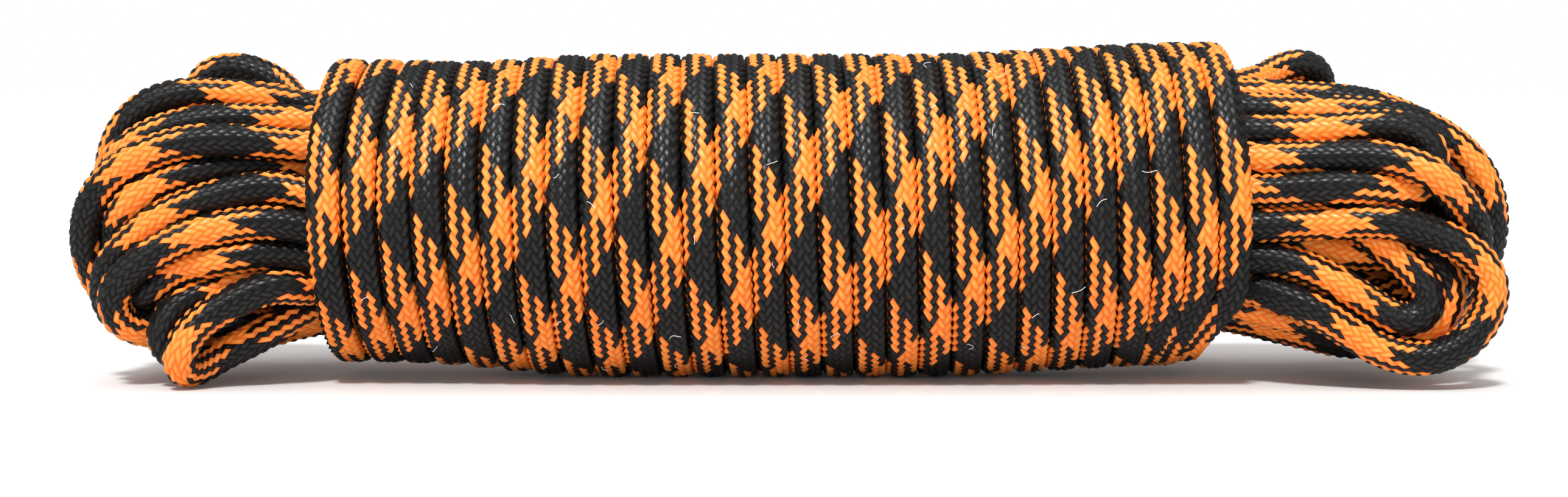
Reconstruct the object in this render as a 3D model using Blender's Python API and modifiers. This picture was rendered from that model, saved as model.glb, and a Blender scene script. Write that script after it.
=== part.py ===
"""Hank of 4 mm braided kernmantle cord, wound into folds and bound by a row of tight turns.

The hank lies along X. One long cord is folded back and forth between two ends, and the
last three metres of the same cord are wound round the middle as 28 frapping turns.
Each outer winding of the hank is a tube of its own, the windings hidden behind them are
one plain solid, and the row of frapping turns is one turned ring. Both ends of the cord
lie under the frapping turns, with their sheath, core strands and melted tip.
Units are metres, +Z is up, and Z = 0 is the surface that the hank rests on.
"""
import math

import bmesh
import bpy

MM = 0.001
TURNED_MERGE = 0.01 * MM
TUBE_BEVEL = 2

# The cord
CORD_D = 4.0 * MM
SHEATH_BORE_R = 1.6 * MM
CORE_STRAND_D = 0.85 * MM
CORE_RING_R = 1.0 * MM
CORE_STRANDS_ROUND = 6
SHEATH_SEGMENTS = 16
TIP_RINGS = 8
TIP_SQUASH = 0.6

# The row of frapping turns
TURNS = 28
TURN_PITCH = 4.0 * MM
COIL_OUTER_R = 20.6 * MM
COIL_BORE_R = 16.6 * MM
GROOVE_DEPTH = 1.4 * MM
CREST_HALF = 1.1 * MM
COIL_CENTRE_X = -1.5 * MM
REST_FLAT_DEPTH = 0.5 * MM
COIL_SEGMENTS = 24
CUTTER_DEPTH = 10 * MM

# The hank's folds
GAP = 0.3 * MM
SPACING = CORD_D + GAP
ROUND_CENTRE_X = 74.0 * MM
FLARE = 3.35 * MM
FAN = 0.105
DEPTH_FAN = 0.12
FLARE_START = 1.5 * MM
DROOP_LEFT = 1.0 * MM
DROOP_RIGHT = 2.2 * MM
FOLD_STEPS = 8
FLARE_STEPS = 4

AXIS_Z = COIL_OUTER_R - REST_FLAT_DEPTH
COIL_LEFT = COIL_CENTRE_X - TURNS * TURN_PITCH / 2
COIL_RIGHT = COIL_CENTRE_X + TURNS * TURN_PITCH / 2

# Rows of windings across the hank's depth: (row, nested places counted from the middle).
# Row 0 is the middle row, and a winding's place sets how high and how low its runs lie.
OUTER_WINDINGS = [
    (0, 2), (-1, 2), (1, 2), (-2, 2), (2, 2),
    (-2, 1), (2, 1), (-2, 0), (2, 0), (-3, 0), (3, 0),
]
INNER_HALF_HEIGHT = 1.5 * SPACING + CORD_D / 2
INNER_HALF_DEPTH = SPACING + CORD_D / 2

# The two ends of the cord, each in a free place just inside the frapping turns
TAIL_LENGTH = 60.0 * MM
TAIL_START_X = -40.0 * MM
TAIL_PLACES = {"start_end": (-3, 1), "finish_end": (3, -1)}

COLOURS = {
    "frapping_turns": (0.85, 0.27, 0.04, 1),
    "winding_even": (0.90, 0.32, 0.06, 1),
    "winding_odd": (0.018, 0.018, 0.020, 1),
    "inner_windings": (0.10, 0.05, 0.03, 1),
    "sheath": (0.80, 0.26, 0.05, 1),
    "core": (0.80, 0.79, 0.76, 1),
    "tip": (0.03, 0.02, 0.02, 1),
}


def clear_scene():
    for item in list(bpy.data.objects):
        bpy.data.objects.remove(item)


def new_collection(name):
    collection = bpy.data.collections.new(name)
    bpy.context.scene.collection.children.link(collection)
    return collection


def material(name, colour, roughness):
    made = bpy.data.materials.new(name)
    made.use_nodes = True
    shader = made.node_tree.nodes["Principled BSDF"]
    shader.inputs["Base Color"].default_value = colour
    shader.inputs["Roughness"].default_value = roughness
    shader.inputs["Metallic"].default_value = 0.0
    return made


def smooth(t):
    """Ease from 0 to 1."""
    t = min(max(t, 0.0), 1.0)
    return t * t * (3 - 2 * t)


def object_from_mesh(name, mesh, collection, finish):
    made = bpy.data.objects.new(name, mesh)
    mesh.materials.append(finish)
    collection.objects.link(made)
    return made


def tube(name, points, diameter, collection, finish):
    """A closed round tube along a list of points."""
    curve = bpy.data.curves.new(name, "CURVE")
    curve.dimensions = "3D"
    curve.bevel_depth = diameter / 2
    curve.bevel_resolution = TUBE_BEVEL
    curve.use_fill_caps = True
    spline = curve.splines.new("POLY")
    spline.points.add(len(points) - 1)
    for target, point in zip(spline.points, points):
        target.co = (*point, 1)
    spline.use_smooth = True
    return object_from_mesh(name, curve, collection, finish)


# ---------------------------------------------------------------- frapping turns

def coil_profile():
    """Radius and height of the turned ring: its grooved outside, then its bore."""
    length = TURNS * TURN_PITCH
    profile = []
    for turn in range(TURNS):
        top = length / 2 - turn * TURN_PITCH
        middle = top - TURN_PITCH / 2
        profile.append((COIL_OUTER_R - GROOVE_DEPTH, top))
        profile.append((COIL_OUTER_R, middle + CREST_HALF))
        profile.append((COIL_OUTER_R, middle - CREST_HALF))
    profile.append((COIL_OUTER_R - GROOVE_DEPTH, -length / 2))
    profile.append((COIL_BORE_R, -length / 2))
    profile.append((COIL_BORE_R, length / 2))
    return profile


def frapping_turns(collection, cutters, finish):
    """A turned ring with one ridge per turn, flattened where it rests."""
    mesh = bpy.data.meshes.new("frapping_turns")
    shape = bmesh.new()
    rim = [shape.verts.new((radius, 0, height)) for radius, height in coil_profile()]
    for first, second in zip(rim, rim[1:] + rim[:1]):
        shape.edges.new((first, second))
    shape.to_mesh(mesh)
    shape.free()
    ring = object_from_mesh("frapping_turns", mesh, collection, finish)
    screw = ring.modifiers.new("turned", "SCREW")
    screw.angle = math.tau
    screw.steps = COIL_SEGMENTS
    screw.render_steps = COIL_SEGMENTS
    screw.use_merge_vertices = True
    screw.merge_threshold = TURNED_MERGE
    # Half a segment of turn puts a flat facet, not an edge, at the bottom.
    ring.rotation_mode = "ZYX"
    ring.rotation_euler = (0, math.pi / 2, math.pi / COIL_SEGMENTS)
    ring.location = (COIL_CENTRE_X, 0, AXIS_Z)

    bpy.ops.mesh.primitive_cube_add(size=1)
    block = bpy.context.object
    block.name = "rest_cutter"
    block.scale = (TURNS * TURN_PITCH + CUTTER_DEPTH, 3 * COIL_OUTER_R, CUTTER_DEPTH)
    block.location = (COIL_CENTRE_X, 0, -CUTTER_DEPTH / 2)
    block.hide_render = True
    block.display_type = "WIRE"
    for owner in list(block.users_collection):
        owner.objects.unlink(block)
    cutters.objects.link(block)
    cut = ring.modifiers.new("rest_flat", "BOOLEAN")
    cut.operation = "DIFFERENCE"
    cut.object = block


# ---------------------------------------------------------------- windings

def run_height(place):
    """How far above and below the hank's axis the two runs of a winding lie."""
    return (place + 0.5) * SPACING


def fold_radius(place):
    """The radius of a winding's folds, beyond the flare at the ends of the turns."""
    height = run_height(place)
    return height + FLARE + FAN * (height - run_height(0))


def end_point(side, row, along, height, spread):
    """A point beyond the frapping turns; spread runs from 0 at the turns to 1 at the folds."""
    depth = row * SPACING * (1 + DEPTH_FAN * spread)
    droop = DROOP_RIGHT if side > 0 else DROOP_LEFT
    return (along, depth, AXIS_Z + height - droop * spread)


def end_route(side, row, place, going_up):
    """One end of a winding: a run flares out, folds over, and comes back as the other run."""
    edge = (COIL_RIGHT if side > 0 else COIL_LEFT) + side * FLARE_START
    centre = side * ROUND_CENTRE_X
    low, high = run_height(place), fold_radius(place)
    first = -1 if going_up else 1
    flare = []
    for step in range(FLARE_STEPS):
        t = step / FLARE_STEPS
        flare.append((edge + (centre - edge) * t, low + (high - low) * smooth(t), smooth(t)))
    points = [end_point(side, row, x, first * z, s) for x, z, s in flare]
    for step in range(FOLD_STEPS + 1):
        angle = first * (math.pi / 2 - math.pi * step / FOLD_STEPS)
        x = centre + side * high * math.cos(angle)
        points.append(end_point(side, row, x, high * math.sin(angle), 1.0))
    points += [end_point(side, row, x, -first * z, s) for x, z, s in reversed(flare)]
    return points


def winding_route(row, place):
    """One round of the hank, from the middle of its lower run to the same place again."""
    depth = row * SPACING
    low = AXIS_Z - run_height(place)
    start = (COIL_CENTRE_X - GAP / 2, depth, low)
    finish = (COIL_CENTRE_X + GAP / 2, depth, low)
    left = end_route(-1, row, place, going_up=True)
    right = end_route(1, row, place, going_up=False)
    return [start] + left + right + [finish]


def outer_windings(collection):
    even = material("winding_even", COLOURS["winding_even"], 0.55)
    odd = material("winding_odd", COLOURS["winding_odd"], 0.5)
    for number, (row, place) in enumerate(OUTER_WINDINGS, start=1):
        finish = odd if number % 2 else even
        name = f"outer_winding_{number:02d}"
        tube(name, winding_route(row, place), CORD_D, collection, finish)


def inner_windings(collection, finish):
    """The windings hidden inside the outer ones, as one extruded outline with round ends."""
    curve = bpy.data.curves.new("inner_windings", "CURVE")
    curve.dimensions = "2D"
    curve.fill_mode = "BOTH"
    curve.extrude = INNER_HALF_DEPTH
    radius = fold_radius(1) + CORD_D / 2
    outline = []
    for side, droop in ((1, DROOP_RIGHT), (-1, DROOP_LEFT)):
        edge = (COIL_RIGHT if side > 0 else COIL_LEFT) + side * FLARE_START
        centre = side * ROUND_CENTRE_X
        flare = []
        for step in range(FLARE_STEPS):
            t = step / FLARE_STEPS
            x = edge + (centre - edge) * t
            flare.append((x, INNER_HALF_HEIGHT + (radius - INNER_HALF_HEIGHT) * smooth(t), smooth(t)))
        first = -side
        outline += [(x, first * z - droop * s) for x, z, s in flare]
        for step in range(FOLD_STEPS + 1):
            angle = math.pi * step / FOLD_STEPS - math.pi / 2
            x = centre + side * radius * math.cos(angle)
            outline.append((x, side * radius * math.sin(angle) - droop))
        outline += [(x, -first * z - droop * s) for x, z, s in reversed(flare)]
    spline = curve.splines.new("POLY")
    spline.points.add(len(outline) - 1)
    for target, (x, z) in zip(spline.points, outline):
        target.co = (x, z, 0, 1)
    spline.use_cyclic_u = True
    made = object_from_mesh("inner_windings", curve, collection, finish)
    made.rotation_euler = (math.pi / 2, 0, 0)
    made.location = (0, 0, AXIS_Z)


# ---------------------------------------------------------------- the cord's two ends

def tail_sheath(name, location, collection, finish):
    """A length of the braided sheath, open where it goes on and where the tip closes it."""
    mesh = bpy.data.meshes.new(name)
    shape = bmesh.new()
    outer, inner = CORD_D / 2, SHEATH_BORE_R
    corners = [(outer, TAIL_LENGTH), (outer, 0), (inner, 0), (inner, TAIL_LENGTH)]
    rim = [shape.verts.new((radius, 0, height)) for radius, height in corners]
    for first, second in zip(rim, rim[1:] + rim[:1]):
        shape.edges.new((first, second))
    shape.to_mesh(mesh)
    shape.free()
    made = object_from_mesh(name, mesh, collection, finish)
    screw = made.modifiers.new("turned", "SCREW")
    screw.angle = math.tau
    screw.steps = SHEATH_SEGMENTS
    screw.render_steps = SHEATH_SEGMENTS
    screw.use_merge_vertices = True
    screw.merge_threshold = TURNED_MERGE
    made.rotation_euler = (0, math.pi / 2, 0)
    made.location = location


def tail_tip(name, location, collection, finish):
    """The melted end: a short disc with a rounded nose, facing -X."""
    mesh = bpy.data.meshes.new(name)
    shape = bmesh.new()
    bmesh.ops.create_uvsphere(shape, u_segments=SHEATH_SEGMENTS, v_segments=TIP_RINGS, radius=CORD_D / 2)
    for vert in shape.verts:
        vert.co.z = min(vert.co.z, 0.0) * TIP_SQUASH
    bmesh.ops.remove_doubles(shape, verts=shape.verts, dist=1e-7)
    bmesh.ops.dissolve_limit(shape, angle_limit=0.001, verts=shape.verts, edges=shape.edges)
    shape.to_mesh(mesh)
    shape.free()
    made = object_from_mesh(name, mesh, collection, finish)
    made.rotation_euler = (0, math.pi / 2, 0)
    made.location = location


def cord_end(name, row, place, collection):
    """Sheath, core strands and melted tip of one end of the cord."""
    sheath = material(name + "_sheath", COLOURS["sheath"], 0.55)
    core = material(name + "_core", COLOURS["core"], 0.5)
    tip = material(name + "_tip", COLOURS["tip"], 0.3)
    depth = row * SPACING
    height = AXIS_Z + math.copysign(run_height(abs(place)), place)
    tail_sheath(name + "_sheath", (TAIL_START_X, depth, height), collection, sheath)
    tail_tip(name + "_melted_tip", (TAIL_START_X - GAP, depth, height), collection, tip)
    spots = [(0.0, 0.0)]
    for step in range(CORE_STRANDS_ROUND):
        angle = math.tau * step / CORE_STRANDS_ROUND
        spots.append((CORE_RING_R * math.cos(angle), CORE_RING_R * math.sin(angle)))
    for number, (across, up) in enumerate(spots, start=1):
        points = [
            (TAIL_START_X + t * TAIL_LENGTH, depth + across, height + up) for t in (0.0, 0.5, 1.0)
        ]
        tube(f"{name}_core_strand_{number}", points, CORE_STRAND_D, collection, core)


def main():
    clear_scene()
    parts = new_collection("cord_hank")
    cutters = new_collection("cutters")
    turns_finish = material("frapping_turns", COLOURS["frapping_turns"], 0.55)
    frapping_turns(parts, cutters, turns_finish)
    outer_windings(parts)
    inner_windings(parts, material("inner_windings", COLOURS["inner_windings"], 0.7))
    for name, (row, place) in TAIL_PLACES.items():
        cord_end(name, row, place, parts)


main()
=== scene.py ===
"""Looks of a hank of 4 mm braided kernmantle cord, bound by a row of tight turns.

One cord is made from end to end: 47 runs inside the turns, folds at both ends that are
pushed apart where they overlap, and 28 turns round the middle. Its core is one curve.
The sheath over it is built yarn by yarn: 32 yarns in a 2-over-2 twill. Pressed
folds still overlap a little, and the cord's tail crosses one hidden fold at the back.
"""
import math

import bpy
import numpy as np
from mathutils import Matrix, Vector


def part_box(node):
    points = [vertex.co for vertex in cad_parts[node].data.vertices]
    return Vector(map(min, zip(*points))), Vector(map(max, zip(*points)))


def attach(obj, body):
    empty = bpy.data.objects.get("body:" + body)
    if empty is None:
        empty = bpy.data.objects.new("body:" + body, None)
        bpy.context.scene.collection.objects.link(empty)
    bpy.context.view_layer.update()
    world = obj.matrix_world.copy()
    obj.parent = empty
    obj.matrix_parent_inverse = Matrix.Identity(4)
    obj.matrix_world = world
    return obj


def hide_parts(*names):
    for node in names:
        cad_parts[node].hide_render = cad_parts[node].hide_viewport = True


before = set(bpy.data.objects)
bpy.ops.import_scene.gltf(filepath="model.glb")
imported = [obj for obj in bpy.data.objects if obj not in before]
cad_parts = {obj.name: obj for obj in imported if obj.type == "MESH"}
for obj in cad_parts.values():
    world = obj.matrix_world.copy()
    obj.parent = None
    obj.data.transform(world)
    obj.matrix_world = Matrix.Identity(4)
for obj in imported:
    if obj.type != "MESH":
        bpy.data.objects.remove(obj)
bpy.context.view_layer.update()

MM = 0.001
RING_LO, RING_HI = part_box("frapping_turns")

# The cord
CORD_D = 4.0 * MM
CORE_R = 1.72 * MM
YARNS = 32
SHEATH_BASE_R = 1.82 * MM
BEAD_HEIGHT = 0.31 * MM
SIDE_FLAT = 0.55
PRESSED = 3.8
WIDENED = 1.04
FOLD_PRESSED = 2.2
BRAID_UNIT = 0.68 * MM
ORANGE_YARNS = 6
PATCH_ANGLE = (ORANGE_YARNS - 1) * math.tau / YARNS
SHEEN = 0.3

# The row of turns. A turn's number is a whole number where it faces the camera, so
# number - 0.25 is its top and number + 0.25 its bottom, and the cord runs towards +X.
TURNS = 28
TURN_PITCH = (RING_HI.x - RING_LO.x) / TURNS
TURN_FIRST_X = RING_LO.x + 1.85 * MM
TURN_AXIS_Z = 20.45 * MM
TURN_R = 18.4 * MM
TURN_R_LEFT = 17.15 * MM
TURN_START = -0.45
TURN_END = TURNS - 1 + 0.6
# The cord is taken to be pulled tighter as the row goes on, which draws its braid out by
# this share from the first turn to the last. The braid has this height where the middle
# turn faces the camera.
PULL_STRETCH = 0.09
MIDDLE_HEIGHT = 8.0

# The camera
CAMERA_DISTANCE = 330 * MM
CAMERA_ELEVATION = math.radians(4.0)
CAMERA_LENS = 59.5
CAMERA_X = -0.65 * MM
CAMERA_AIM_Z = 16.2 * MM

# The runs inside the turns, in rings round the axis: (radius, number of runs)
RUN_RINGS = [(14.3 * MM, 22), (10.3 * MM, 14), (6.5 * MM, 8), (2.3 * MM, 3)]
LEFT_SQUEEZE = 0.92
START_RUN = (0, 1)
FINISH_RUN = (0, -10)
LEAD_RUN = (0, -9)
CORD_END_X = 40 * MM
RUN_HALF_LENGTH = 38 * MM
RUN_POINTS = 9

# The folds
FLOOR_REST = 2.1 * MM
POINT_STEP = 2.0 * MM
ROW_SPACING = 1.07
FOLD_STEPS = 8
DROOP_RIGHT = 2.2 * MM
DROOP_LEFT = 1.0 * MM
LOWEST_ROUND_R = 17 * MM
FOLD_CENTRE_X = 73.0 * MM
FOLD_ROUND = 1.3 * MM
FOLD_LEAST_R = 5.2 * MM
FOLD_DEPTH_FAN = 1.12
REACH = 88.6 * MM
LEAST_BEND_R = 2.1 * MM
SHAPE_HOLD = 0.12
PLACED_WEIGHT = 0.15
ROUNDS = 360
PAIRS_EVERY = 6

# Lint caught on the sheath
LINT_COUNT = 34
LINT_R = 0.035 * MM
LINT_STEP = 0.27 * MM
LINT_CLEARANCE = 0.18 * MM

# Colours
ORANGE_LOW = (0.86, 0.27, 0.040, 1)
ORANGE_HIGH = (0.95, 0.35, 0.066, 1)
# The groove colours are painted shade: the yarn colours darkened where the grooves between beads
# fall in shade.
ORANGE_GROOVE_PAINTED_SHADE = (0.8, 0.13, 0.008, 1)
BLACK_LOW = (0.005, 0.0048, 0.0046, 1)
BLACK_HIGH = (0.011, 0.0105, 0.010, 1)
BLACK_GROOVE_PAINTED_SHADE = (0.0004, 0.0004, 0.0004, 1)
CORE_DARK = (0.02, 0.012, 0.008, 1)
CORE_LIGHT = (0.30, 0.05, 0.01, 1)
LINT_LOW = (0.72, 0.72, 0.74, 1)
LINT_HIGH = (0.95, 0.95, 0.95, 1)
FLOOR_COLOUR = (0.72, 0.71, 0.705, 1)

# Suns: name, strength, spread in degrees, aim, and whether they shine on glossy surfaces
SUNS = [
    ("key", 1.6, 55, (0.06, 0.12, -0.99), True),
    ("glint", 3.2, 8, (0.12, 0.56, -0.82), True),
    ("fill", 1.5, 50, (0.05, 0.99, -0.04), False),
]
STUDIO_LIGHT = 0.44
FLOOR_HALF = 4.0

random = np.random.default_rng(7)


def smooth(t):
    """Ease from 0 to 1."""
    t = np.clip(t, 0.0, 1.0)
    return t * t * (3 - 2 * t)


# ---------------------------------------------------------------- camera

def make_camera():
    data = bpy.data.cameras.new("camera")
    data.sensor_width = 36
    data.lens = CAMERA_LENS
    data.clip_start = 0.01
    camera = bpy.data.objects.new("camera", data)
    bpy.context.scene.collection.objects.link(camera)
    aim = Vector((CAMERA_X, 0, CAMERA_AIM_Z))
    away = Vector((0, -math.cos(CAMERA_ELEVATION), math.sin(CAMERA_ELEVATION)))
    camera.location = aim + CAMERA_DISTANCE * away
    camera.rotation_euler = (-away).to_track_quat("-Z", "Y").to_euler()
    bpy.context.scene.camera = camera


# ---------------------------------------------------------------- the row of turns

def axis_height(x):
    """Height of the row's axis: it rises towards both ends, most towards the right."""
    left = 0.6 * MM * smooth((-30 * MM - x) / (25 * MM))
    right = 1.5 * MM * smooth((x - 15 * MM) / (37 * MM))
    return TURN_AXIS_Z + left + right


def turn_route(number):
    """Centre points, outward and sideways directions of the turns, at these turn numbers."""
    number = np.asarray(number, float)
    down = 2 * np.pi * number
    lift = CAMERA_ELEVATION - down
    loose = 1.0 * MM * np.exp(-(((number - 1.4) / 1.1) ** 2))
    lean = 4.6 * MM * smooth((number - 24.4) / 2.9) * smooth((np.sin(down) - 0.5) / 0.5)
    drift = (0.6 + 1.4 * np.exp(-(((number - 1) / 2) ** 2))) * smooth((14 - number) / 8) * MM
    lean = lean + drift * smooth(0.5 + 0.75 * np.sin(down + np.pi / 4))
    x = TURN_FIRST_X + TURN_PITCH * (number + 0.25) + loose - lean
    radius = TURN_R_LEFT + (TURN_R - TURN_R_LEFT) * smooth((number - 2.5) / 5.5)
    radius = radius - 1.3 * MM * smooth((number - 27.0) / 0.6)
    outward = np.stack([0 * lift, -np.cos(lift), np.sin(lift)], axis=1)
    centre = outward * radius[:, None]
    centre[:, 0] = x
    centre[:, 2] += axis_height(x)
    return centre, outward


# ---------------------------------------------------------------- runs and their places

def run_angles(count):
    """Angles of a ring's runs from the camera's side, upwards positive."""
    if count % 2:
        return {i: math.pi / 2 + math.tau * i / count for i in range(count)}
    half = count // 2
    numbers = list(range(half)) + [-n - 1 for n in range(half)]
    return {n: (n + 0.5) * math.tau / count for n in numbers}


RUN_ANGLE = {(ring, n): angle for ring, (_, count) in enumerate(RUN_RINGS)
             for n, angle in run_angles(count).items()}


def run_point(run, x):
    """Where a run passes this x, inside the turns."""
    radius = RUN_RINGS[run[0]][0]
    squeeze = 1 - (1 - LEFT_SQUEEZE) * smooth((-22 * MM - x) / (28 * MM))
    angle = RUN_ANGLE[run]
    return np.array([
        x,
        -radius * squeeze * math.cos(angle),
        axis_height(x) + radius * squeeze * math.sin(angle),
    ])


# Folds placed one by one: the two runs that each joins, and the points that it passes, in
# millimetres: along X, depth, and height above the rest surface. X and height follow the
# photo, read off it. Depth is a guess.
RIGHT_PLACED = {
    ((0, -1), (0, -3)): [
        (61.0, -14.6, 20.3), (68.2, -15.3, 20.4), (75.4, -15.8, 19.7), (81.3, -16.0, 17.9),
        (84.6, -16.0, 15.0), (85.2, -16.0, 11.3), (83.9, -16.0, 7.8), (79.5, -15.9, 4.3),
        (75.4, -15.7, 4.0), (72.0, -15.6, 4.9), (68.2, -15.4, 7.0), (65.4, -15.2, 9.0),
        (62.0, -14.8, 10.6),
    ],
    ((0, -2), (1, 0)): [
        (59.5, -13.4, 16.0), (62.6, -14.2, 15.0), (66.9, -14.8, 12.9), (71.2, -15.0, 10.4),
        (74.2, -15.1, 8.7), (76.7, -15.1, 8.9), (78.2, -15.0, 11.0), (77.4, -14.4, 13.6),
        (75.4, -13.5, 15.8), (72.6, -12.4, 17.6), (68.0, -11.4, 19.4), (63.0, -10.6, 21.4),
    ],
    ((1, -1), (1, -2)): [
        (61.0, -10.2, 18.6), (66.5, -11.0, 17.4), (71.4, -12.0, 17.3), (76.2, -12.6, 16.9),
        (79.7, -12.9, 15.0), (81.1, -12.9, 12.0), (80.4, -12.7, 8.9), (78.0, -12.3, 6.6),
        (74.5, -11.6, 6.2), (69.5, -10.6, 8.6), (64.0, -9.4, 12.0),
    ],
    ((0, 5), (0, 7)): [
        (60.5, 5.5, 37.0), (63.4, 7.2, 39.0), (66.6, 8.8, 39.4), (69.2, 10.4, 38.0),
        (69.8, 12.0, 35.5), (66.4, 12.8, 33.4), (62.0, 12.2, 32.4),
    ],
}
LEFT_PLACED = {
    ((0, 4), (0, -8)): [
        (-62.9, -4.5, 34.9), (-67.7, -5.5, 35.5), (-72.6, -6.0, 35.8), (-76.3, -6.0, 35.7),
        (-80.0, -6.0, 34.3), (-82.3, -5.5, 32.6), (-83.9, -5.0, 30.2), (-85.0, -4.0, 27.0),
        (-85.8, -1.0, 21.0), (-84.5, 2.0, 14.0), (-80.0, 4.0, 8.5), (-72.0, 5.5, 6.5),
        (-65.0, 6.5, 8.5),
    ],
    ((0, 3), (0, -7)): [
        (-61.9, -8.0, 32.5), (-66.7, -9.0, 32.6), (-71.6, -9.5, 32.5), (-75.2, -9.5, 32.0),
        (-78.8, -9.3, 30.9), (-81.3, -9.0, 29.1), (-83.4, -8.3, 26.6), (-85.2, -6.5, 22.0),
        (-85.8, -4.0, 16.5), (-83.0, -1.0, 10.0), (-77.0, 1.0, 6.5), (-69.0, 2.5, 6.2),
        (-63.5, 3.3, 7.8),
    ],
    ((0, 2), (0, -6)): [
        (-61.5, -11.0, 29.3), (-66.2, -12.0, 30.2), (-71.0, -12.6, 30.2), (-75.8, -12.8, 29.3),
        (-79.4, -12.6, 28.0), (-82.0, -12.1, 26.2), (-84.2, -11.2, 23.6), (-86.4, -9.3, 18.8),
        (-86.5, -7.5, 14.3), (-84.8, -5.8, 10.6), (-80.5, -3.8, 7.2), (-74.0, -1.8, 5.6),
        (-67.0, -0.6, 6.4), (-62.5, 0.0, 7.8),
    ],
    ((1, 1), (1, -5)): [
        (-62.0, -8.5, 27.0), (-69.0, -10.8, 27.0), (-74.0, -11.8, 26.4), (-77.6, -12.0, 25.2),
        (-80.4, -11.8, 23.6), (-82.6, -11.0, 21.2), (-84.0, -9.0, 17.5), (-83.0, -5.5, 13.5),
        (-79.5, -2.0, 10.8), (-73.0, 1.0, 10.2), (-66.0, 3.0, 11.6),
    ],
    ((0, 0), (1, -4)): [
        (-61.5, -12.8, 24.5), (-66.2, -13.6, 24.3), (-69.8, -14.0, 23.3), (-73.4, -14.0, 22.1),
        (-76.7, -13.8, 20.5), (-79.8, -13.3, 18.7), (-82.2, -12.6, 16.8), (-83.8, -11.6, 14.6),
        (-84.4, -10.8, 12.0), (-83.6, -10.0, 9.2), (-81.5, -9.0, 6.9), (-78.3, -7.6, 5.9),
        (-72.0, -5.0, 7.5), (-65.0, -1.8, 10.4),
    ],
    ((0, -1), (0, -5)): [
        (-59.8, -13.5, 20.1), (-65.8, -14.5, 19.6), (-69.3, -15.0, 19.2), (-72.9, -15.2, 18.3),
        (-76.4, -15.2, 17.1), (-79.7, -14.8, 15.4), (-81.8, -14.3, 13.0), (-82.6, -13.6, 10.4),
        (-82.2, -12.6, 8.1), (-80.2, -11.3, 6.9), (-76.8, -9.8, 6.8), (-71.5, -7.8, 7.6),
        (-66.0, -5.5, 8.0), (-62.0, -4.2, 8.3),
    ],
    ((0, -2), (1, -3)): [
        (-60.5, -12.6, 16.8), (-65.8, -13.4, 16.6), (-69.3, -13.8, 15.9), (-72.9, -13.6, 14.9),
        (-76.4, -13.2, 13.5), (-79.0, -12.8, 11.8), (-80.4, -12.0, 9.6), (-79.4, -10.8, 7.6),
        (-75.0, -8.8, 7.6), (-70.0, -6.6, 9.4), (-65.0, -4.8, 11.6),
    ],
    ((1, -2), (2, -2)): [
        (-61.0, -8.5, 15.0), (-66.5, -11.0, 13.8), (-71.0, -12.4, 12.4), (-74.8, -13.2, 10.8),
        (-77.6, -13.2, 8.8), (-78.6, -12.6, 6.6), (-77.2, -11.2, 5.2), (-73.0, -8.4, 7.0),
        (-66.0, -4.2, 12.0),
    ],
    ((0, -3), (0, -4)): [
        (-59.5, -12.4, 12.8), (-62.0, -13.6, 12.5), (-64.4, -14.6, 11.9), (-67.0, -15.3, 11.0),
        (-69.3, -15.7, 9.7), (-71.6, -15.9, 8.0), (-73.5, -15.9, 6.1), (-75.0, -15.6, 3.9),
        (-74.4, -14.5, 2.5), (-72.9, -12.8, 2.9), (-70.8, -11.5, 4.3), (-68.4, -11.0, 5.6),
        (-65.4, -10.6, 6.8), (-61.5, -9.6, 7.9),
    ],
    ((0, 5), (0, 6)): [
        (-61.5, 4.5, 34.2), (-65.5, 6.0, 36.4), (-69.0, 7.2, 38.4), (-73.0, 8.4, 38.8),
        (-76.0, 9.6, 37.4), (-77.2, 10.8, 35.0), (-73.0, 11.6, 33.6), (-67.0, 9.5, 33.4),
        (-62.0, 6.0, 33.9),
    ],
}


# Where an orange patch of these folds faces the camera, in millimetres along X
PATCHES = {
    ((0, 4), (0, -8)): -67.8, ((0, 3), (0, -7)): -61.1, ((0, 2), (0, -6)): -79.5,
    ((1, 1), (1, -5)): -79.2, ((0, 0), (1, -4)): -77.2, ((0, -1), (0, -5)): -70.6,
    ((0, -2), (1, -3)): -71.8, ((1, -2), (2, -2)): -67.3, ((0, -3), (0, -4)): -74.9,
    ((0, -1), (0, -3)): 84.9, ((0, -2), (1, 0)): 67.2,
}


# ---------------------------------------------------------------- joining runs into one cord

def plain_pairs(runs):
    """Upper runs paired with lower runs: front to back, and outer ones outside inner ones."""
    row = CORD_D * ROW_SPACING

    def order(run):
        radius = RUN_RINGS[run[0]][0]
        depth = -radius * math.cos(RUN_ANGLE[run])
        return (round(depth / row), -abs(radius * math.sin(RUN_ANGLE[run])))

    upper = sorted((r for r in runs if math.sin(RUN_ANGLE[r]) > 0), key=order)
    lower = sorted((r for r in runs if math.sin(RUN_ANGLE[r]) <= 0), key=order)
    for many, few in ((upper, lower), (lower, upper)):
        while len(many) > len(few) + 1:
            moved = min(many, key=lambda run: abs(math.sin(RUN_ANGLE[run])))
            many.remove(moved)
            few.append(moved)
        few.sort(key=order)
    return [list(pair) for pair in zip(upper, lower)]


def partners(pairs):
    """For every run, the run that a fold joins it to."""
    found = {}
    for a, b in pairs:
        found[a], found[b] = b, a
    return found


def follow(right, left):
    """Runs in the order in which the cord passes them, from the start run to the lead run."""
    right_of, left_of = partners(right), partners(left)
    order = [START_RUN]
    side = right_of
    while order[-1] in side:
        order.append(side[order[-1]])
        side = left_of if side is right_of else right_of
    return order


def folds_at(placed, elsewhere):
    """One end's folds: those placed one by one, and plain ones for the runs that are left."""
    taken = {run for pair in placed for run in pair} | set(elsewhere)
    return [list(pair) for pair in placed], plain_pairs([r for r in RUN_ANGLE if r not in taken])


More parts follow.
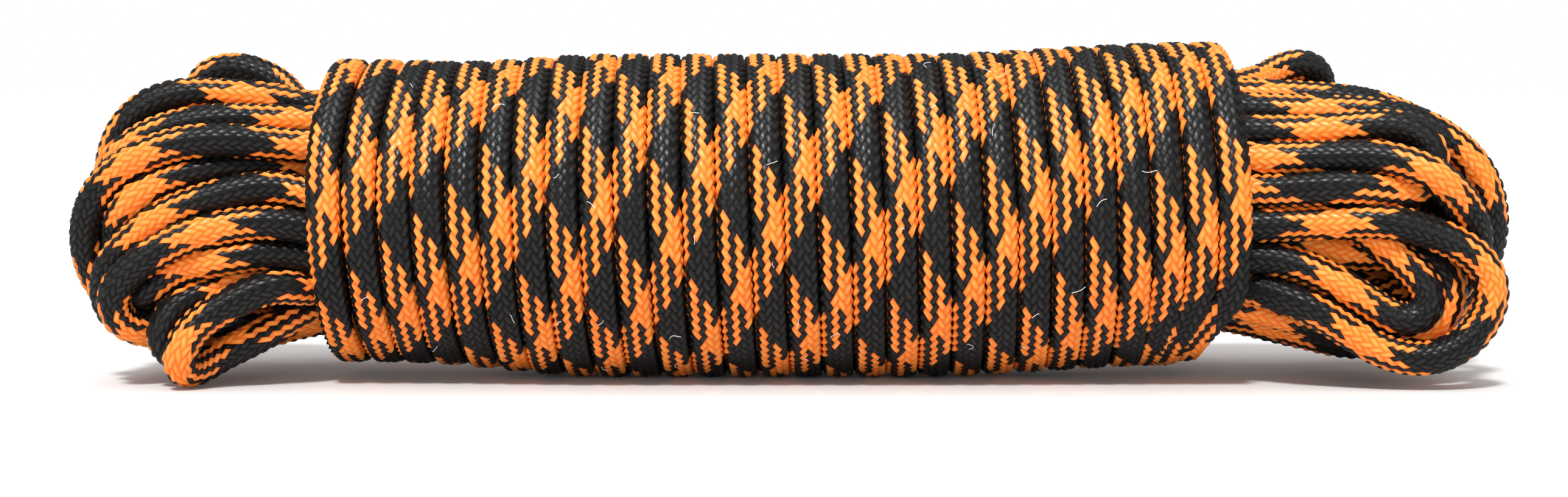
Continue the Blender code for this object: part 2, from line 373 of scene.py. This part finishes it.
def join_runs():
    """Right and left folds that make one cord of all the runs.

    Plain folds that lie near each other swap their lower runs until no closed loop is left.
    """
    right_placed, right_plain = folds_at(RIGHT_PLACED, [FINISH_RUN])
    left_placed, left_plain = folds_at(LEFT_PLACED, [START_RUN, FINISH_RUN, LEAD_RUN])
    while True:
        right, left = right_placed + right_plain, left_placed + left_plain
        reached = set(follow(right, left))
        if len(reached) == len(RUN_ANGLE) - 1:
            return right, left
        swaps = [(apart(one, two), one, two)
                 for plain in (left_plain, right_plain)
                 for one in plain if one[0] in reached
                 for two in plain if two[0] not in reached]
        _, one, two = min(swaps, key=lambda swap: swap[0])
        one[1], two[1] = two[1], one[1]


def apart(one, two):
    """How far apart the lower runs of two folds lie."""
    return float(np.linalg.norm(run_point(one[1], 0.0) - run_point(two[1], 0.0)))


# ---------------------------------------------------------------- the shape of the folds

def resample(points, step):
    """Points at even steps along a smooth line through these."""
    points = spline_through(points, 12)
    along = lengths(points)
    count = max(int(round(along[-1] / step)), 4)
    wanted = np.linspace(0, along[-1], count + 1)
    return np.stack([np.interp(wanted, along, points[:, k]) for k in range(3)], axis=1)


def lengths(points):
    """Length of a line from its first point to each of its points."""
    steps = np.linalg.norm(np.diff(points, axis=0), axis=1)
    return np.concatenate([[0.0], np.cumsum(steps)])


def spline_through(points, count):
    """A Catmull-Rom line through the points, with count steps for each."""
    points = np.asarray(points, float)
    ends = np.vstack([2 * points[0] - points[1], points, 2 * points[-1] - points[-2]])
    a, b, c, d = (ends[k:len(ends) - 3 + k, None, :] for k in range(4))
    t = (np.arange(count) / count)[None, :, None]
    line = 0.5 * (2 * b + (c - a) * t + (2 * a - 5 * b + 4 * c - d) * t**2
                  + (3 * b - a - 3 * c + d) * t**3)
    return np.vstack([line.reshape(-1, 3), points[-1]])


def smooth_line(points, count):
    """A cubic B-spline guided by the points, with count steps for each."""
    ends = np.vstack([2 * points[0] - points[1], points, 2 * points[-1] - points[-2]])
    a, b, c, d = (ends[k:len(ends) - 3 + k, None, :] for k in range(4))
    t = (np.arange(count) / count)[None, :, None]
    line = ((1 - t)**3 * a + (3 * t**3 - 6 * t**2 + 4) * b
            + (1 + 3 * t + 3 * t**2 - 3 * t**3) * c + t**3 * d) / 6
    return np.vstack([line.reshape(-1, 3), points[-1]])


def fold_guide(side, pair, placed):
    """A first line for a fold, from one run's place inside the turns to the other's."""
    edge = RING_HI.x if side > 0 else RING_LO.x
    anchors = [[run_point(run, edge - side * back) for back in (10 * MM, 5 * MM, -1 * MM)]
               for run in pair]
    if placed:
        middle = [np.array(point) * MM for point in placed]
    else:
        middle = plain_fold(side, anchors[0][2], anchors[1][2])
    return resample(np.array(anchors[0] + middle + anchors[1][::-1]), POINT_STEP)


def plain_fold(side, first, second):
    """A round fold between two places at the edge of the turns."""
    half = (first[2] - second[2]) / 2
    round_r = max(abs(half) + FOLD_ROUND, FOLD_LEAST_R)
    droop = DROOP_RIGHT if side > 0 else DROOP_LEFT
    depth = (first[1] + second[1]) / 2 * FOLD_DEPTH_FAN
    lean = (first[1] - second[1]) / 2
    height = (first[2] + second[2]) / 2 - droop
    height = max(height, FLOOR_REST + min(round_r, LOWEST_ROUND_R))
    centre_x = min(FOLD_CENTRE_X, REACH - round_r) + random.uniform(-1.0, 0.6) * MM
    turn = math.copysign(1.0, half)
    points = []
    for step in range(FOLD_STEPS + 1):
        angle = math.pi / 2 - math.pi * step / FOLD_STEPS
        points.append(np.array([
            side * (centre_x + round_r * math.cos(angle)),
            depth + lean * math.sin(angle),
            height + turn * round_r * math.sin(angle),
        ]))
    return points


def relax(guides, placed, fixed_cord):
    """The folds' lines after pushing cords apart, easing bends and holding lengths.

    It runs a fixed number of rounds, so small overlaps and tight bends can remain.
    """
    chain = np.concatenate([np.full(len(g), k) for k, g in enumerate(guides)])
    order = np.concatenate([np.arange(len(g)) for g in guides])
    points = np.vstack(guides)
    edge = np.abs(points[:, 0])
    limit = np.where(points[:, 0] > 0, RING_HI.x, -RING_LO.x) - 1.0 * MM
    free = edge > limit
    count = len(points)
    everything = np.vstack([points, fixed_cord])
    chain = np.concatenate([chain, np.full(len(fixed_cord), -1)])
    order = np.concatenate([order, np.arange(len(fixed_cord))])
    free = np.concatenate([free, np.zeros(len(fixed_cord), bool)])
    held = np.concatenate([np.full(len(g), PLACED_WEIGHT if by_hand else 1.0)
                           for g, by_hand in zip(guides, placed)] + [np.ones(len(fixed_cord))])
    weight = free * held
    link = np.flatnonzero((chain[:-1] == chain[1:]) & (chain[:-1] >= 0))
    rest = np.linalg.norm(everything[link + 1] - everything[link], axis=1)
    inner = np.flatnonzero((chain[:-4] == chain[4:]) & (chain[:-4] >= 0)) + 2
    shaped = np.flatnonzero((weight > 0) & (weight < 1))
    hinge = np.flatnonzero((chain[:-2] == chain[2:]) & (chain[:-2] >= 0)) + 1
    least_span = 2 * POINT_STEP * math.cos(POINT_STEP / LEAST_BEND_R / 2)
    first = second = None
    for turn in range(ROUNDS):
        if turn % PAIRS_EVERY == 0:
            first, second = near_pairs(everything, chain, order, count)
        push_apart(everything, weight, first, second, 0.5 if turn > ROUNDS // 3 else 0.3)
        move = everything[inner - 2] + everything[inner + 2]
        move = move - 4 * (everything[inner - 1] + everything[inner + 1]) + 6 * everything[inner]
        everything[inner] -= move / 16 * 0.7 * weight[inner, None]
        hold = SHAPE_HOLD * smooth((ROUNDS * 0.8 - turn) / (ROUNDS * 0.4))
        everything[shaped] += (points[shaped] - everything[shaped]) * hold
        for start in range(2):
            open_bend(everything, weight, hinge[start::2], least_span)
            keep_length(everything, weight, link[start::2], rest[start::2])
        free_part = everything[:count]
        free_part[:, 2] = np.where(weight[:count] > 0, np.maximum(free_part[:, 2], FLOOR_REST),
                                   free_part[:, 2])
        free_part[:, 0] = np.clip(free_part[:, 0], -REACH, REACH)
    sizes = np.cumsum([len(g) for g in guides])[:-1]
    return np.split(everything[:count], sizes)


def near_pairs(points, chain, order, count):
    """Pairs of points of different cords, or far along the same cord, that nearly touch."""
    squares = (points**2).sum(axis=1)
    apart = squares[:count, None] + squares[None, :] - 2 * points[:count] @ points.T
    first, second = np.nonzero(apart < (CORD_D * 1.3) ** 2)
    keep = (first < second) & ((chain[first] != chain[second])
                               | (np.abs(order[first] - order[second]) > 4))
    return first[keep], second[keep]


def push_apart(points, weight, first, second, share):
    """Contact: moves two cords' centres towards a diameter apart."""
    gap = points[second] - points[first]
    far = np.maximum(np.linalg.norm(gap, axis=1), 1e-6)
    depth = np.maximum(CORD_D - far, 0.0)
    total = np.maximum(weight[first] + weight[second], 1e-6)
    move = gap / far[:, None] * (depth * share / total)[:, None]
    for axis in range(3):
        points[:, axis] -= np.bincount(first, move[:, axis] * weight[first], len(points))
        points[:, axis] += np.bincount(second, move[:, axis] * weight[second], len(points))


def keep_length(points, weight, link, rest):
    """Moves linked points back to their own distance."""
    gap = points[link + 1] - points[link]
    far = np.maximum(np.linalg.norm(gap, axis=1), 1e-6)
    total = np.maximum(weight[link] + weight[link + 1], 1e-6)
    move = gap * ((far - rest) / far / total)[:, None]
    points[link] += move * weight[link, None]
    points[link + 1] -= move * weight[link + 1, None]


def open_bend(points, weight, middle, least):
    """Eases a bend that is tighter than the least radius."""
    gap = points[middle + 1] - points[middle - 1]
    far = np.maximum(np.linalg.norm(gap, axis=1), 1e-6)
    move = gap / far[:, None] * (np.maximum(least - far, 0.0) * 0.25)[:, None]
    points[middle - 1] -= move * weight[middle - 1, None]
    points[middle + 1] += move * weight[middle + 1, None]
    centre = (points[middle - 1] + points[middle + 1]) / 2 - points[middle]
    tight = np.maximum(least - far, 0.0) / least
    points[middle] += centre * (tight * 0.8 * weight[middle])[:, None]


# ---------------------------------------------------------------- the sheath, yarn by yarn

def transported(points):
    """Outward directions along a line that turn no more than the line does."""
    ahead = np.gradient(points, axis=0)
    ahead /= np.linalg.norm(ahead, axis=1)[:, None]
    outward = np.empty_like(points)
    start = np.cross(ahead[0], (0, 0, 1.0))
    if np.linalg.norm(start) < 0.1:
        start = np.cross(ahead[0], (0, 1.0, 0))
    outward[0] = start / np.linalg.norm(start)
    for k in range(1, len(points)):
        moved = outward[k - 1] - ahead[k] * (outward[k - 1] @ ahead[k])
        outward[k] = moved / math.sqrt(moved @ moved)
    return ahead, outward


def bead_height(u, v):
    """Height of the sheath over its grooves, at lattice place (u, v), from 0 to 1."""
    across, along, _, _ = yarn_place(u, v, np.floor(u / 2), np.floor(v / 2))
    return np.maximum(1 - np.abs(across) ** 2.5, 0) * np.maximum(1 - np.abs(along) ** 3, 0)


def yarn_place(u, v, i, j):
    """Place across and along the bead that covers cell (i, j), its colour and its number."""
    step = np.mod(i + j + 3, 4)
    s_on_top = step < 2
    j_first = np.where(step == 1, j - 1, j)
    i_first = np.where(step == 3, i - 1, i)
    across = np.where(s_on_top, u - 2 * i - 1, v - 2 * j - 1)
    along = np.where(s_on_top, (v - 2 * j_first - 2) / 2, (u - 2 * i_first - 2) / 2)
    yarn = np.mod(np.where(s_on_top, i, j), YARNS // 2)
    number = np.where(s_on_top, i * 31 + j_first * 17, j * 29 + i_first * 23 + 7)
    return across, along, (yarn < ORANGE_YARNS), number


def braid(name, first_z, last_z, route, finish, pressed=FOLD_PRESSED, wide=1.0):
    """A length of sheath. route gives centre, outward and sideways at each braid height."""
    rows = np.arange(math.ceil(first_z * 2), math.floor(last_z * 2) + 1)
    height = rows / 2
    centre, outward, sideways = route(height)
    round_count = YARNS
    around = np.arange(round_count)[None, :] + (rows % 2)[:, None] / 2
    u, v = around - height[:, None], around + height[:, None]
    angle = (around - 1) * math.tau / YARNS
    relief = BEAD_HEIGHT * (1 - SIDE_FLAT * np.sin(angle) ** 6)
    radius = SHEATH_BASE_R + relief * bead_height(u, v)
    flatness = np.abs(np.cos(angle)) ** pressed + np.abs(np.sin(angle)) ** pressed
    radius *= flatness ** (-1 / pressed)
    points = (centre[:, None, :]
              + (radius * np.cos(angle))[:, :, None] * outward[:, None, :]
              + (radius * wide * np.sin(angle))[:, :, None] * sideways[:, None, :])
    row_count = len(rows)
    number = np.arange(row_count * round_count).reshape(row_count, round_count)
    middle = np.arange(1, row_count - 1)
    odd = (rows[middle] % 2).astype(int)[:, None]
    spot = np.arange(round_count)[None, :]
    right = (spot + 1) % round_count
    tips = (spot + odd) % round_count
    corners = np.stack([
        number[middle[:, None], spot],
        number[middle[:, None] + 1, tips],
        number[middle[:, None], right],
        number[middle[:, None] - 1, tips],
    ], axis=2).reshape(-1, 4)
    corner_u = np.array([-0.5, -0.5, 0.5, 0.5])
    corner_v = np.array([-0.5, 0.5, 0.5, -0.5])
    face_c = (around[middle] + 0.5).reshape(-1, 1)
    face_z = np.repeat(height[middle], round_count).reshape(-1, 1)
    face_u, face_v = face_c - face_z, face_c + face_z
    cell = (np.floor(face_u / 2), np.floor(face_v / 2))
    across, along, orange, bead = yarn_place(face_u + corner_u, face_v + corner_v, *cell)
    place = points.reshape(-1, 3)[corners]
    along_v = place[:, 1] + place[:, 2] - place[:, 0] - place[:, 3]
    along_u = place[:, 2] + place[:, 3] - place[:, 0] - place[:, 1]
    s_on_top = np.mod(cell[0] + cell[1] + 3, 4) < 2
    crosswise = np.where(s_on_top, along_u, along_v)
    crosswise /= np.linalg.norm(crosswise, axis=1)[:, None]
    mesh = bpy.data.meshes.new(name)
    mesh.vertices.add(row_count * round_count)
    mesh.vertices.foreach_set("co", points.astype(np.float32).ravel())
    ends = [end_rim(number, rows, 0), end_rim(number, rows, -1)]
    loops = np.concatenate([corners.ravel()] + ends)
    mesh.loops.add(len(loops))
    mesh.loops.foreach_set("vertex_index", loops.astype(np.int32))
    starts = np.arange(len(corners)) * 4
    starts = np.append(starts, [len(corners) * 4, len(corners) * 4 + len(ends[0])])
    mesh.polygons.add(len(starts))
    mesh.polygons.foreach_set("loop_start", starts.astype(np.int32))
    flat = np.zeros(len(starts), bool)
    flat[-2:] = True
    mesh.attributes.new("sharp_face", "BOOLEAN", "FACE").data.foreach_set("value", flat)
    shade = np.mod(np.sin(bead[:, 0] * 12.9898) * 43758.5453, 1.0)
    face_value(mesh, "orange", np.append(orange[:, 0], [0, 0]))
    face_value(mesh, "shade", np.append(shade, [0, 0]))
    crosswise = np.vstack([crosswise, [(0, 0, 1), (0, 0, 1)]])
    across_yarn = mesh.attributes.new("crosswise", "FLOAT_VECTOR", "FACE")
    across_yarn.data.foreach_set("vector", crosswise.astype(np.float32).ravel())
    weave = np.zeros((len(loops), 3))
    weave[:corners.size, 0] = across.ravel()
    weave[:corners.size, 1] = along.ravel()
    weave[:corners.size, 2] = np.repeat(shade, 4)
    spots = mesh.attributes.new("weave", "FLOAT_VECTOR", "CORNER")
    spots.data.foreach_set("vector", weave.astype(np.float32).ravel())
    mesh.update(calc_edges=True)
    mesh.validate()
    mesh.materials.append(finish)
    piece = bpy.data.objects.new(name, mesh)
    bpy.context.scene.collection.objects.link(piece)
    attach(piece, "root")
    return piece


def end_rim(number, rows, end):
    """The zigzag rim that closes a length of sheath, facing out."""
    here, inside = (0, 1) if end == 0 else (-1, -2)
    spot = np.arange(number.shape[1])
    between = (spot + int(rows[here] % 2)) % number.shape[1]
    rim = np.stack([number[here, spot], number[inside, between]], axis=1).ravel()
    return rim[::-1] if end else rim


def face_value(mesh, name, values):
    made = mesh.attributes.new(name, "FLOAT", "FACE")
    made.data.foreach_set("value", values.astype(np.float32))


def line_route(points, patch_x):
    """A route for braid along a smooth line, and the braid heights of its ends.

    An orange patch faces the camera where the line first comes as far out as patch_x.
    """
    line = smooth_line(points, 6)
    ahead, outward = transported(line)
    sideways = np.cross(outward, ahead)
    out = np.abs(line[:, 0])
    spot = int(np.argmax(out >= min(abs(patch_x), out.max() - 0.2 * MM)))
    turned = math.atan2(-sideways[spot, 1], -outward[spot, 1]) - PATCH_ANGLE
    outward, sideways = (outward * math.cos(turned) + sideways * math.sin(turned),
                         sideways * math.cos(turned) - outward * math.sin(turned))
    along = (lengths(line) - lengths(line)[spot]) / BRAID_UNIT

    def route(height):
        return tuple(np.stack([np.interp(height, along, part[:, k]) for k in range(3)], axis=1)
                     for part in (line, outward, sideways))

    return route, along[0], along[-1]


# ---------------------------------------------------------------- materials

def nodes_of(name):
    made = bpy.data.materials.new(name)
    made.use_nodes = True
    tree = made.node_tree
    return made, tree, tree.nodes["Principled BSDF"]


def node(tree, kind, **values):
    made = tree.nodes.new(kind)
    for key, value in values.items():
        if key.startswith("in_"):
            made.inputs[int(key[3:])].default_value = value
        else:
            setattr(made, key, value)
    return made


def maths(tree, operation, one, two):
    made = node(tree, "ShaderNodeMath", operation=operation)
    for socket, value in zip(made.inputs, (one, two)):
        if isinstance(value, (int, float)):
            socket.default_value = value
        else:
            tree.links.new(value, socket)
    return made.outputs[0]


def mixed(tree, factor, one, two):
    made = node(tree, "ShaderNodeMix", data_type="RGBA")
    for socket, value in ((made.inputs[0], factor), (made.inputs[6], one), (made.inputs[7], two)):
        if isinstance(value, (int, float, tuple)):
            socket.default_value = value
        else:
            tree.links.new(value, socket)
    return made.outputs[2]


def sheath_material():
    """Orange and black polyester yarns, each a flat bundle of fine filaments."""
    made, tree, shader = nodes_of("braided_sheath")
    link = tree.links.new
    orange = node(tree, "ShaderNodeAttribute", attribute_name="orange").outputs["Fac"]
    weave = node(tree, "ShaderNodeAttribute", attribute_name="weave").outputs["Vector"]
    parts = node(tree, "ShaderNodeSeparateXYZ")
    link(weave, parts.inputs[0])
    across, along, shade = parts.outputs
    side = maths(tree, "POWER", maths(tree, "ABSOLUTE", across, 0), 2.0)
    end = maths(tree, "POWER", maths(tree, "ABSOLUTE", along, 0), 3.0)
    crown = maths(tree, "SUBTRACT", 1.0, side)
    ends = maths(tree, "SUBTRACT", 1.0, end)
    bead = maths(tree, "MULTIPLY", crown, ends)
    bright = mixed(tree, shade, ORANGE_LOW, ORANGE_HIGH)
    # Towards each bead's grooves the colour goes to the groove colours: painted groove shade,
    # added to the shading of the bead relief.
    lit = mixed(tree, bead, ORANGE_GROOVE_PAINTED_SHADE, bright)
    soot = mixed(tree, shade, BLACK_LOW, BLACK_HIGH)
    dark = mixed(tree, bead, BLACK_GROOVE_PAINTED_SHADE, soot)
    colour = mixed(tree, orange, dark, lit)
    link(colour, shader.inputs["Base Color"])
    fibre = node(tree, "ShaderNodeCombineXYZ")
    link(maths(tree, "MULTIPLY", across, 3.2), fibre.inputs[0])
    link(maths(tree, "MULTIPLY", along, 0.35), fibre.inputs[1])
    link(maths(tree, "MULTIPLY", shade, 40.0), fibre.inputs[2])
    grain = node(tree, "ShaderNodeTexNoise", noise_dimensions="3D")
    grain.inputs["Scale"].default_value = 2.2
    grain.inputs["Detail"].default_value = 2.0
    link(fibre.outputs[0], grain.inputs["Vector"])
    smooth_crown = maths(tree, "ADD", 0.24, maths(tree, "MULTIPLY", grain.outputs["Fac"], 0.1))
    groove = maths(tree, "MULTIPLY", maths(tree, "SUBTRACT", 1.0, bead), 0.6)
    link(maths(tree, "ADD", smooth_crown, groove), shader.inputs["Roughness"])
    bump = node(tree, "ShaderNodeBump")
    bump.inputs["Strength"].default_value = 0.1
    bump.inputs["Distance"].default_value = 0.08 * MM
    link(grain.outputs["Fac"], bump.inputs["Height"])
    link(bump.outputs[0], shader.inputs["Normal"])
    shader.inputs["Specular IOR Level"].default_value = SHEEN
    shader.inputs["Anisotropic"].default_value = 0.75
    tangent = node(tree, "ShaderNodeAttribute", attribute_name="crosswise").outputs["Vector"]
    link(tangent, shader.inputs["Tangent"])
    return made


def core_material():
    """The cord's inside where no sheath is drawn: a dark weave that only shows in gaps."""
    made, tree, shader = nodes_of("cord_core")
    noise = node(tree, "ShaderNodeTexNoise")
    noise.inputs["Scale"].default_value = 900.0
    colour = mixed(tree, noise.outputs["Fac"], CORE_DARK, CORE_LIGHT)
    tree.links.new(colour, shader.inputs["Base Color"])
    shader.inputs["Roughness"].default_value = 0.7
    return made


def floor_material():
    made, tree, shader = nodes_of("pale_floor")
    shader.inputs["Base Color"].default_value = FLOOR_COLOUR
    shader.inputs["Roughness"].default_value = 0.6
    return made


# ---------------------------------------------------------------- light and floor

def make_stage():
    mesh = bpy.data.meshes.new("floor")
    half = FLOOR_HALF
    mesh.from_pydata([(-half, -half, 0), (half, -half, 0), (half, half, 0), (-half, half, 0)],
                     [], [(0, 1, 2, 3)])
    mesh.materials.append(floor_material())
    floor = bpy.data.objects.new("floor", mesh)
    bpy.context.scene.collection.objects.link(floor)
    make_world()
    for values in SUNS:
        sun(*values)
    bpy.context.scene.view_settings.view_transform = "Standard"


def sun(name, strength, spread, aim, glossy):
    """Light along a direction, spread over this many degrees."""
    data = bpy.data.lights.new(name, "SUN")
    data.energy = strength
    data.angle = math.radians(spread)
    light = bpy.data.objects.new(name, data)
    bpy.context.scene.collection.objects.link(light)
    light.visible_glossy = glossy
    light.rotation_euler = Vector(aim).to_track_quat("-Z", "Y").to_euler()


def make_world():
    """An even studio: a white backdrop, and softer light from all sides."""
    world = bpy.data.worlds.new("studio")
    world.use_nodes = True
    tree = world.node_tree
    light = tree.nodes["Background"]
    light.inputs[0].default_value = (1, 1, 1, 1)
    light.inputs[1].default_value = STUDIO_LIGHT
    backdrop = node(tree, "ShaderNodeBackground", in_0=(1, 1, 1, 1), in_1=1.0)
    seen = node(tree, "ShaderNodeLightPath").outputs["Is Camera Ray"]
    mix = node(tree, "ShaderNodeMixShader")
    for socket, source in zip(mix.inputs, (seen, light.outputs[0], backdrop.outputs[0])):
        tree.links.new(source, socket)
    tree.links.new(mix.outputs[0], tree.nodes["World Output"].inputs[0])
    bpy.context.scene.world = world


# ---------------------------------------------------------------- making the cord

def make_folds(right, left):
    """Relaxed lines of all the folds at both ends, pushed clear of the first and last turns."""
    close = turn_route(np.arange(TURN_START, 2.0, 0.02))[0]
    far = turn_route(np.arange(TURNS - 3.0, TURN_END, 0.02))[0]
    right_guides = [fold_guide(1, pair, RIGHT_PLACED.get(tuple(pair))) for pair in right]
    left_guides = [fold_guide(-1, pair, LEFT_PLACED.get(tuple(pair))) for pair in left]
    right_folds = relax(right_guides, [tuple(pair) in RIGHT_PLACED for pair in right], far[:-3])
    left_folds = relax(left_guides, [tuple(pair) in LEFT_PLACED for pair in left], close[3:])
    return ({tuple(pair): line for pair, line in zip(right, right_folds)},
            {tuple(pair): line for pair, line in zip(left, left_folds)})


def cord_line(right_folds, left_folds, order, lead, tail):
    """Every point of the cord, from its start end to its finish end."""
    points = [run_point(START_RUN, -CORD_END_X)]
    heading = 1
    for run, following in zip(order, order[1:] + [None]):
        xs = np.linspace(-RUN_HALF_LENGTH, RUN_HALF_LENGTH, RUN_POINTS)[::heading]
        points += [run_point(run, x) for x in xs]
        if following is None:
            break
        folds = right_folds if heading > 0 else left_folds
        line = folds.get((run, following))
        if line is None:
            line = folds[(following, run)][::-1]
        points += list(line)
        heading = -heading
    points += list(lead)
    points += list(turn_route(np.arange(TURN_START + 0.03, TURN_END, 1 / 40))[0])
    points += list(tail)
    last_xs = np.linspace(RUN_HALF_LENGTH, -CORD_END_X, RUN_POINTS)
    points += [run_point(FINISH_RUN, x) for x in last_xs]
    return np.array(points)


def lead_in():
    """From the lead run out of the left end and up into the first turn."""
    edge = RING_LO.x
    start = [run_point(LEAD_RUN, edge + back) for back in (9 * MM, 4 * MM)]
    goal, outward = turn_route([TURN_START, TURN_START + 0.02])
    ahead = (goal[1] - goal[0]) / np.linalg.norm(goal[1] - goal[0])
    middle = [start[1] + np.array([-5.0, 1.0, -0.6]) * MM,
              start[1] + np.array([-7.6, 4.4, -2.0]) * MM,
              goal[0] - ahead * 7.5 * MM + np.array([-3.0, -0.6, 0]) * MM]
    return resample(np.array(start + middle + [goal[0]]), POINT_STEP)


def tail_out():
    """From the last turn over the right end and back under the turns."""
    edge = RING_HI.x
    goal = [run_point(FINISH_RUN, edge - back) for back in (4 * MM, 9 * MM)]
    start, _ = turn_route([TURN_END - 0.02, TURN_END])
    ahead = (start[1] - start[0]) / np.linalg.norm(start[1] - start[0])
    middle = [start[1] + ahead * up * MM + np.array([out, 0, 0]) * MM
              for up, out in ((3.5, 1.2), (5.6, 3.6), (3.5, 6.0), (-2.0, 6.6))]
    middle += [goal[0] + np.array(step) * MM for step in ((9.2, 0.6, 5.0), (6.0, 0.4, 1.0))]
    return resample(np.array([start[1]] + middle + goal), POINT_STEP)


def make_core(points, finish):
    data = bpy.data.curves.new("cord_core", "CURVE")
    data.dimensions = "3D"
    data.bevel_depth = CORE_R
    data.bevel_resolution = 1
    data.use_fill_caps = True
    spline = data.splines.new("POLY")
    spline.points.add(len(points) - 1)
    spline.points.foreach_set("co", np.c_[points, np.ones(len(points))].ravel())
    data.materials.append(finish)
    core = bpy.data.objects.new("cord_core", data)
    bpy.context.scene.collection.objects.link(core)
    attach(core, "root")
    return core


def turn_heights(numbers):
    """Braid heights at these turn numbers: the turns' length, in units that the pull draws out."""
    centre, _ = turn_route(numbers)
    steps = np.linalg.norm(np.diff(centre, axis=0), axis=1)
    units = BRAID_UNIT * (1 + PULL_STRETCH * (numbers[1:] / TURNS - 0.5))
    heights = np.concatenate([[0.0], np.cumsum(steps / units)])
    return heights - np.interp(TURNS / 2, numbers, heights) + MIDDLE_HEIGHT


def make_turns(finish):
    numbers = np.linspace(-1.0, TURNS + 0.2, 6000)
    heights = turn_heights(numbers)

    def route(height):
        centre, outward = turn_route(np.interp(height, heights, numbers))
        ahead = np.gradient(centre, axis=0)
        ahead /= np.linalg.norm(ahead, axis=1)[:, None]
        outward = outward - ahead * (outward * ahead).sum(axis=1)[:, None]
        outward /= np.linalg.norm(outward, axis=1)[:, None]
        return centre, outward, np.cross(outward, ahead)

    pieces = []
    for turn in range(TURNS):
        low = np.interp(max(turn - 0.5, TURN_START), numbers, heights)
        high = np.interp(min(turn + 0.5, TURN_END), numbers, heights)
        first = math.ceil(low * 2) / 2
        last = math.ceil(high * 2) / 2 + 0.5
        pieces.append(braid(f"turn_{turn + 1:02d}", first, last, route, finish,
                            pressed=PRESSED, wide=WIDENED))
    return pieces


def make_lint():
    """Short curly white fibres caught on the front of the turns."""
    data = bpy.data.curves.new("lint", "CURVE")
    data.dimensions = "3D"
    data.bevel_depth = LINT_R
    data.bevel_resolution = 0
    for _ in range(LINT_COUNT):
        number = random.uniform(1, TURNS - 1)
        turn = round(number) + random.uniform(-0.19, 0.2)
        centre, outward = turn_route([turn, turn + 0.01])
        ahead = (centre[1] - centre[0]) / np.linalg.norm(centre[1] - centre[0])
        sideways = np.cross(outward[0], ahead)
        place = centre[0] + outward[0] * (CORD_D / 2 + LINT_CLEARANCE)
        place = place + sideways * random.uniform(-1.0, 1.0) * MM
        heading = random.uniform(0, math.tau)
        curl = random.uniform(-1.5, 1.5)
        count = int(random.integers(3, 8))
        spline = data.splines.new("POLY")
        spline.points.add(count)
        for k in range(count + 1):
            spline.points[k].co = (*place, 1)
            step = (sideways * math.cos(heading) + ahead * math.sin(heading)) * LINT_STEP
            place = place + step + outward[0] * random.uniform(-0.03, 0.08) * MM
            heading += curl * random.uniform(-0.4, 1.0)
    made, tree, shader = nodes_of("lint")
    noise = node(tree, "ShaderNodeTexNoise")
    noise.inputs["Scale"].default_value = 2500.0
    colour = mixed(tree, noise.outputs["Fac"], LINT_LOW, LINT_HIGH)
    tree.links.new(colour, shader.inputs["Base Color"])
    shader.inputs["Roughness"].default_value = 0.6
    data.materials.append(made)
    lint = bpy.data.objects.new("lint", data)
    bpy.context.scene.collection.objects.link(lint)
    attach(lint, "root")


make_camera()
sheath_finish = sheath_material()
right_pairs, left_pairs = join_runs()
run_order = follow(right_pairs, left_pairs)
right_lines, left_lines = make_folds(right_pairs, left_pairs)
lead_line, tail_line = lead_in(), tail_out()
cord_points = cord_line(right_lines, left_lines, run_order, lead_line, tail_line)
core = make_core(cord_points, core_material())
turns = make_turns(sheath_finish)
for label, lines in (("right", right_lines), ("left", left_lines)):
    for number, (pair, line) in enumerate(lines.items(), start=1):
        placed = RIGHT_PLACED if label == "right" else LEFT_PLACED
        if pair in placed and pair in PATCHES:
            patch_x = PATCHES[pair] * MM
        else:
            patch_x = random.uniform(60, 86) * MM
        fold_route, low, high = line_route(line, patch_x)
        braid(f"{label}_fold_{number:02d}", low, high, fold_route,
                                 sheath_finish)
for label, line in (("lead_in", lead_line), ("tuck_in", tail_line)):
    end_route, low, high = line_route(line, RING_HI.x)
    braid(label, low, high, end_route, sheath_finish)
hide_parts("frapping_turns")
outer = [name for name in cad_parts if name.startswith("outer_winding")]
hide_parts("inner_windings", *outer)
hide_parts(*[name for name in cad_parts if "_end_" in name])

make_lint()
make_stage()
